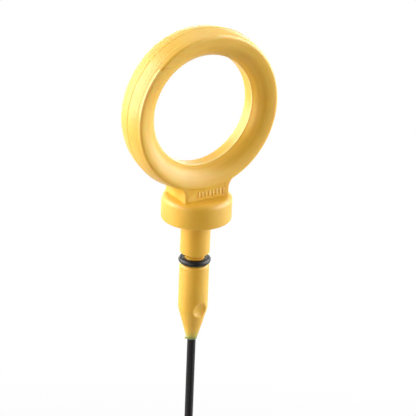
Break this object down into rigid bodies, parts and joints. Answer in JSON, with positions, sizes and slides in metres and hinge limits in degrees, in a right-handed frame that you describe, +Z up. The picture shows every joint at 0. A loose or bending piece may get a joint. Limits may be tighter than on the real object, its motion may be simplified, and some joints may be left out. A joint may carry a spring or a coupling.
{
  "type": "engine oil dipstick",
  "caption": "Engine oil dipstick: yellow moulded finger-ring handle with collar and tapered plug, black rubber sealing ring and a straight black wire rod with a flattened gauge end.",
  "frame": {"origin": "on the rod's axis, in the plane of the collar's underside, which seats on the guide tube's mouth", "axes": "+Z up along the rod towards the finger ring, the ring lies in the XZ plane, and its side with the sunk panel faces -Y"},
  "size_m": [0.0422, 0.0182, 0.3307],
  "materials": {
    "yellow_plastic": "satin moulded plastic, slightly translucent",
    "black_rubber": "satin black rubber",
    "black_wire": "semi-gloss black coated steel wire"
  },
  "bodies": {
    "root": {"handle": "yellow_plastic", "sealing_ring": "black_rubber", "gauge_rod": "black_wire"}
  },
  "joints": []
}
